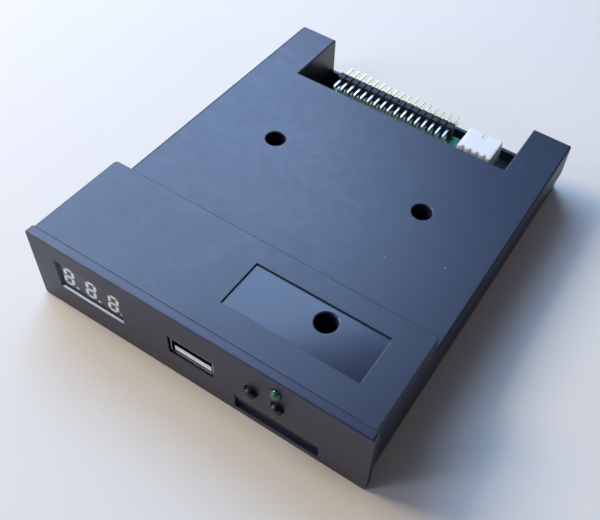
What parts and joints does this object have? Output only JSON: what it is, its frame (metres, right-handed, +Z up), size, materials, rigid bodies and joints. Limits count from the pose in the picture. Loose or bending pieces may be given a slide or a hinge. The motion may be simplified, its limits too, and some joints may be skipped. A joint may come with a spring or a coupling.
{
  "type": "external floppy disk drive",
  "caption": "Flat black bay-size drive housing with a digit display, USB socket, push-buttons and status light in front and a notch with header and power socket at the back.",
  "frame": {"origin": "middle of the base, under the centre of the whole drive from the button caps to the rear", "axes": "+Z up from the base, -Y out of the bezel, +X to the right as seen from the front"},
  "size_m": [0.1016, 0.1238, 0.0254],
  "materials": {
    "housing_black": "fine-textured black ABS",
    "bezel_black": "fine-textured black ABS",
    "button_black": "smooth moulded",
    "switch_black": "moulded",
    "tinned_steel": "tin-plated",
    "led_green": "clear tinted epoxy",
    "display_face": "smooth dark face",
    "segment_white": "diffusing epoxy",
    "board_green": "solder mask",
    "chip_black": "moulded epoxy",
    "zinc_screw": "zinc-plated",
    "connector_white": "white nylon",
    "wire_insulation": "PVC insulation",
    "nickel_shell": "nickel-plated",
    "tongue_white": "white moulded",
    "gold_contact": "gold-flashed",
    "header_black": "moulded",
    "can_aluminium": "plain",
    "ceramic_tan": "fired",
    "resistor_black": "glazed"
  },
  "bodies": {
    "drive": {"top_cover": "housing_black", "bottom_tray": "housing_black", "front_bezel": "bezel_black", "switch_body_left": "switch_black", "switch_body_right": "switch_black", "switch_brackets": "tinned_steel", "status_led": "led_green", "led_legs": "tinned_steel", "display_body": "display_face", "display_segments": "segment_white", "display_pins": "tinned_steel", "display_board": "board_green", "display_driver": "chip_black", "display_driver_leads": "tinned_steel", "display_screws": "zinc_screw", "display_socket": "connector_white", "display_plug": "connector_white", "display_wires": "wire_insulation", "usb_shell": "nickel_shell", "usb_tongue": "tongue_white", "usb_contacts": "gold_contact", "header_body": "header_black", "header_pins": "gold_contact", "power_body": "connector_white", "power_pins": "tinned_steel", "main_board": "board_green", "microcontroller": "chip_black", "microcontroller_leads": "tinned_steel", "crystal": "nickel_shell", "line_drivers": "chip_black", "line_driver_leads": "tinned_steel", "regulator": "chip_black", "regulator_leads": "tinned_steel", "capacitor_cans": "can_aluminium", "capacitor_bases": "chip_black", "ceramic_capacitors": "ceramic_tan", "resistors": "resistor_black", "select_header": "header_black", "select_pins": "gold_contact", "select_jumper": "header_black", "cover_screws": "zinc_screw", "board_screws": "zinc_screw"},
    "button_left": {"button_cap_left": "button_black", "switch_plunger_left": "switch_black"},
    "button_right": {"button_cap_right": "button_black", "switch_plunger_right": "switch_black"}
  },
  "joints": [
    {"name": "button_left_press", "type": "slide", "parent": "drive", "child": "button_left", "axis": [0, 1, 0], "range_m": [0, 0.0004], "stiffness_N_per_m": 4000},
    {"name": "button_right_press", "type": "slide", "parent": "drive", "child": "button_right", "axis": [0, 1, 0], "range_m": [0, 0.0004], "stiffness_N_per_m": 4000}
  ]
}
